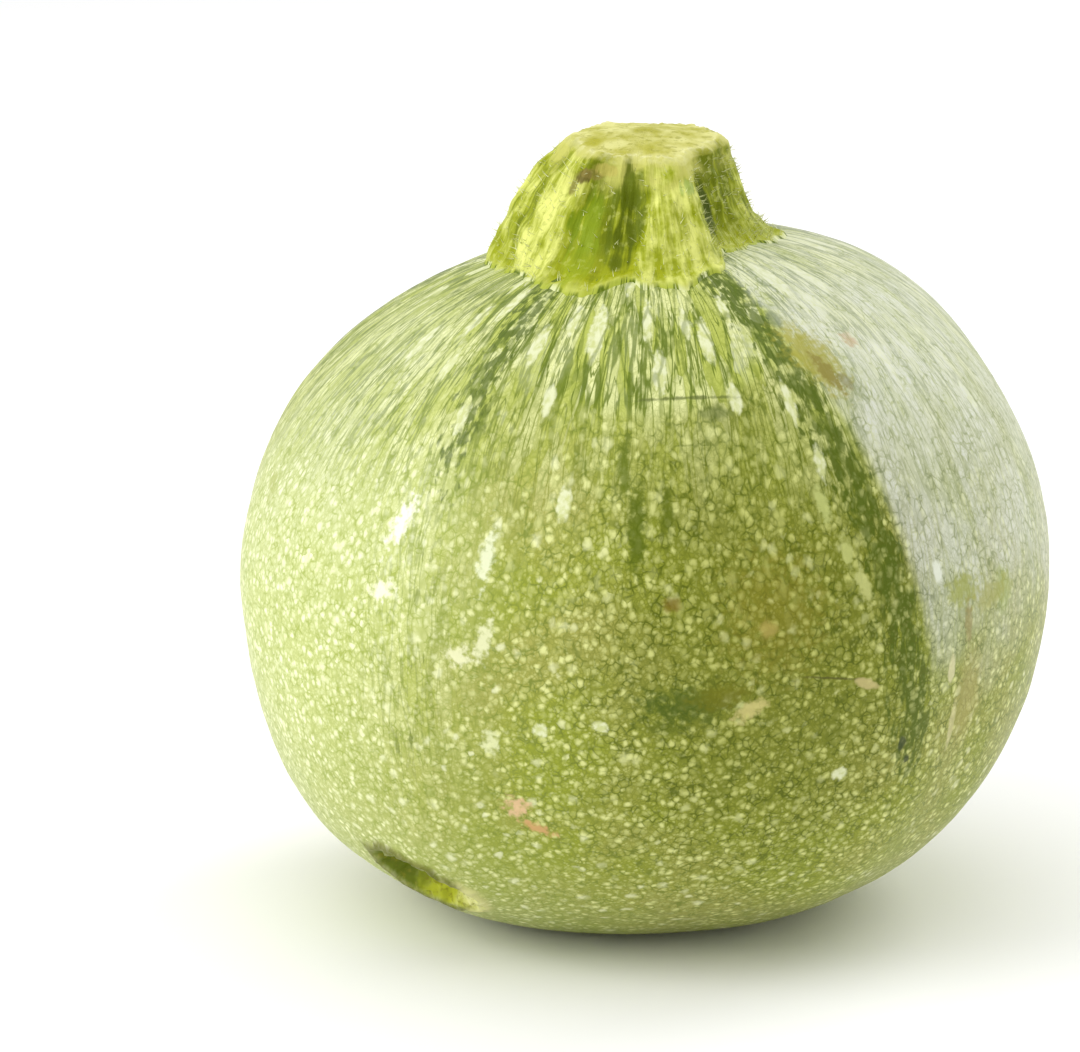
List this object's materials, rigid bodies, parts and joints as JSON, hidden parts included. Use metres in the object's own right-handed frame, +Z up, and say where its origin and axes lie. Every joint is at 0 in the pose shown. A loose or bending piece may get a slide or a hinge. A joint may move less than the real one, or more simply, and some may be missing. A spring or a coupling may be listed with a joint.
{
  "type": "courgette",
  "caption": "Round pale green courgette with a finely netted skin, soft ribs and a fluted cut stalk, standing on its blossom end.",
  "frame": {"origin": "centre of the whole object's box, at ground level, on the flat patch that the fruit rests on", "axes": "+Z up towards the cut stalk; -Y towards the front, where the gouge is low on the left; +X to the right as seen from the front"},
  "size_m": [0.09, 0.0886, 0.0868],
  "materials": {
    "skin": "waxy satin vegetable skin, pale cells in a fine green net, with a grey-white bloom",
    "stalk": "matt fibrous green stalk with a drier, paler cut face"
  },
  "bodies": {
    "root": {"fruit": "skin", "stalk_stub": "stalk"}
  },
  "joints": []
}
